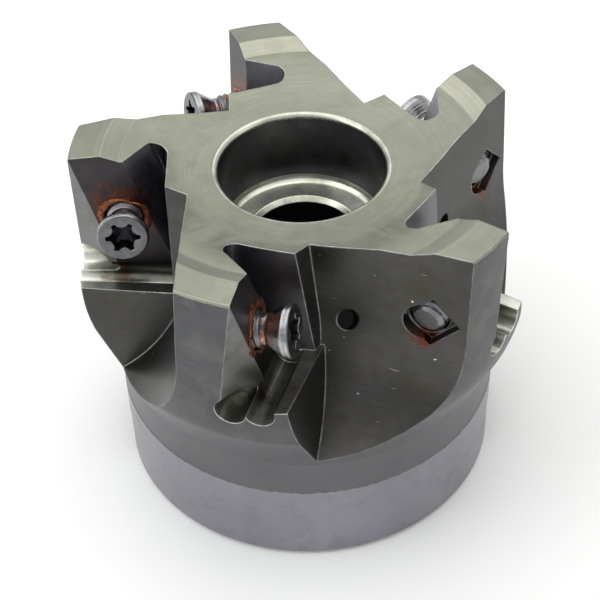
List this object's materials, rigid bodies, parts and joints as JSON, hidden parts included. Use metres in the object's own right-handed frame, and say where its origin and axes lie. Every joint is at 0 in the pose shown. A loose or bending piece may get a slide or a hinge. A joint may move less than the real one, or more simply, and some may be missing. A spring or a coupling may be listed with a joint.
{
  "type": "indexable face mill",
  "caption": "Shell-type shoulder and face milling cutter body with open insert pockets, chip gullets, a counterbored arbor bore, key slots and loosened insert screws.",
  "frame": {"origin": "centre of the arbor seat face, on the cutter's axis", "axes": "+Z along the cutter's axis, from the arbor seat towards the cutting face; X along the drive key slots"},
  "size_m": [0.0472, 0.0484, 0.0398],
  "materials": {
    "body_steel": "nickel-plated hardened steel, satin, milled and ground",
    "screw_steel": "turned screw steel, slightly worn",
    "copper_paste": "thin smear of copper assembly paste"
  },
  "bodies": {
    "cutter": {"cutter_body": "body_steel"},
    "screw_1": {"insert_screw_1": "screw_steel"},
    "screw_2": {"insert_screw_2": "screw_steel"},
    "screw_3": {"insert_screw_3": "screw_steel"},
    "screw_4": {"insert_screw_4": "screw_steel"},
    "screw_5": {"insert_screw_5": "screw_steel"}
  },
  "joints": [
    {"name": "insert_screw_1_travel", "type": "slide", "parent": "cutter", "child": "screw_1", "axis": [0.0518, -0.9889, 0.1392], "range_m": [-0.0012, 0.0084]},
    {"name": "insert_screw_2_travel", "type": "slide", "parent": "cutter", "child": "screw_2", "axis": [0.9565, -0.2563, 0.1392], "range_m": [-0.0012, 0.0084]},
    {"name": "insert_screw_3_travel", "type": "slide", "parent": "cutter", "child": "screw_3", "axis": [0.5393, 0.8305, 0.1392], "range_m": [-0.0012, 0.0084]},
    {"name": "insert_screw_4_travel", "type": "slide", "parent": "cutter", "child": "screw_4", "axis": [-0.6232, 0.7696, 0.1392], "range_m": [-0.0012, 0.0084]},
    {"name": "insert_screw_5_travel", "type": "slide", "parent": "cutter", "child": "screw_5", "axis": [-0.9245, -0.3549, 0.1392], "range_m": [-0.0033, 0.0063]}
  ]
}
